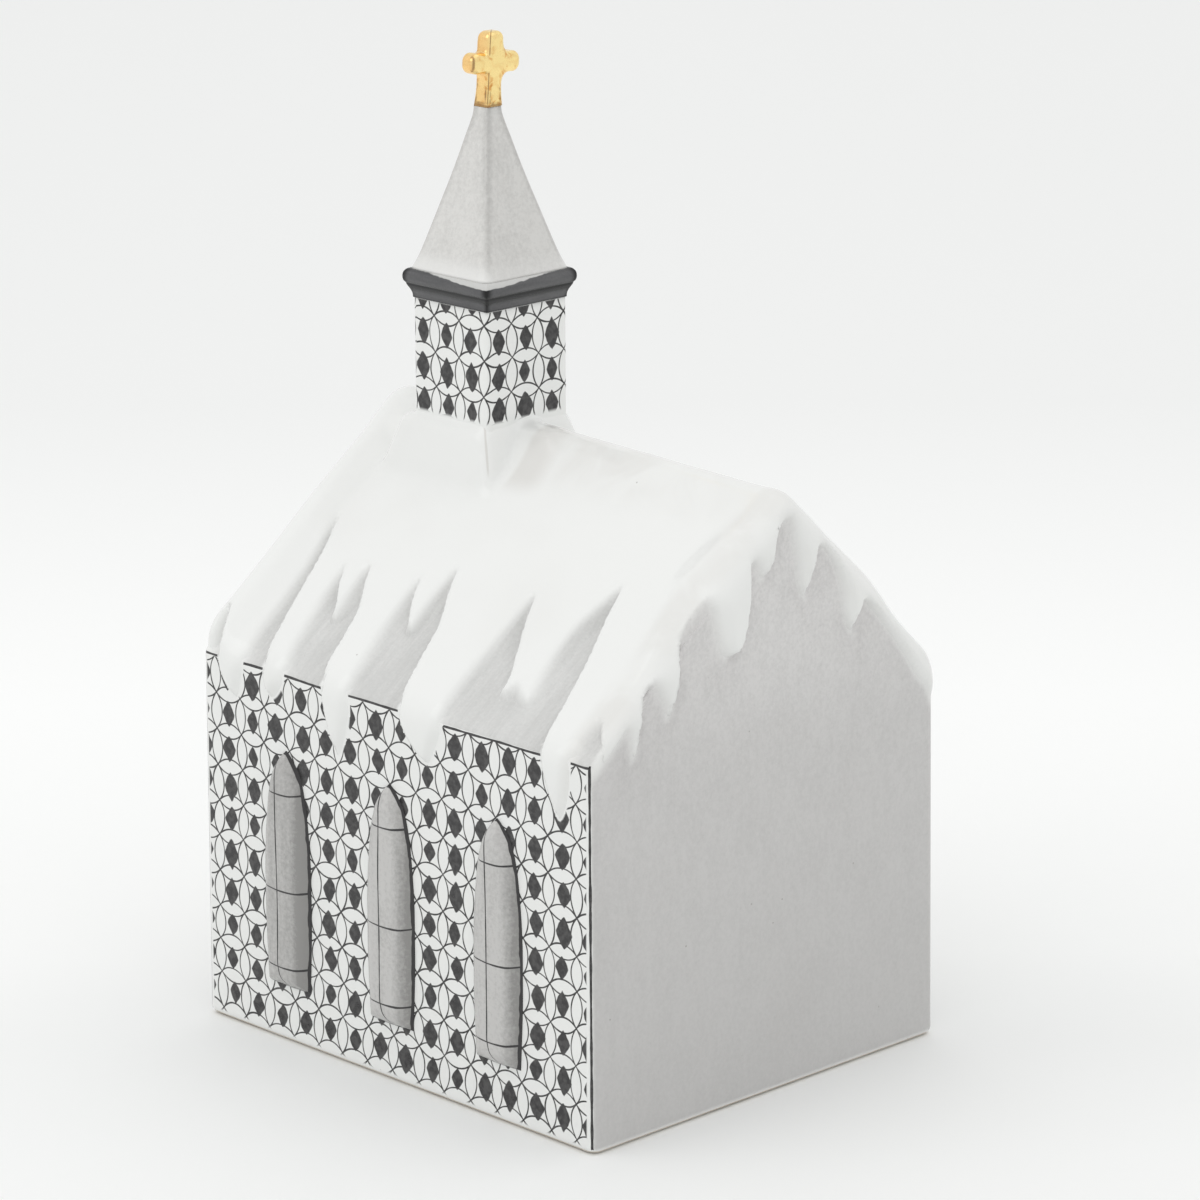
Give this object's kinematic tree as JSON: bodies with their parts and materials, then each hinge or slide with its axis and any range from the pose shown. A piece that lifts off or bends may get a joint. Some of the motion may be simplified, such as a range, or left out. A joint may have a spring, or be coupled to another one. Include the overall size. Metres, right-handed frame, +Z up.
{
  "type": "church figurine",
  "caption": "Glazed porcelain church house figurine with snow-covered gable roof, square bell tower, spire and gilded cross, resting on a flat foot.",
  "frame": {"origin": "middle of the footprint at the foot rim, on the surface the figurine stands on", "axes": "+Z up, +X along the ridge out of the plain gable, -Y out of the windowed long wall seen in the picture; the bell tower stands towards -X"},
  "size_m": [0.0874, 0.075, 0.1501],
  "materials": {
    "painted_body": "glossy glaze over a brushed grey wash on the gables and a painted black net on the long walls",
    "bare_porcelain": "unglazed, matt",
    "white_glaze": "glossy clear glaze on white porcelain",
    "painted_tower": "glossy glaze over a painted black net",
    "charcoal_glaze": "glossy, brushed on",
    "grey_glaze": "satin grey wash",
    "window_wash": "glossy brushed grey wash with thin black lines",
    "gilding": "burnished gold over glaze, slightly worn"
  },
  "bodies": {
    "root": {"nave_body": "painted_body", "base_floor": "bare_porcelain", "roof_snow": "white_glaze", "bell_tower": "painted_tower", "tower_cornice": "charcoal_glaze", "spire": "grey_glaze", "cross": "gilding", "window_left_rear": "window_wash", "window_left_middle": "window_wash", "window_left_front": "window_wash", "window_right_rear": "window_wash", "window_right_middle": "window_wash", "window_right_front": "window_wash", "entrance_door": "charcoal_glaze"}
  },
  "joints": []
}
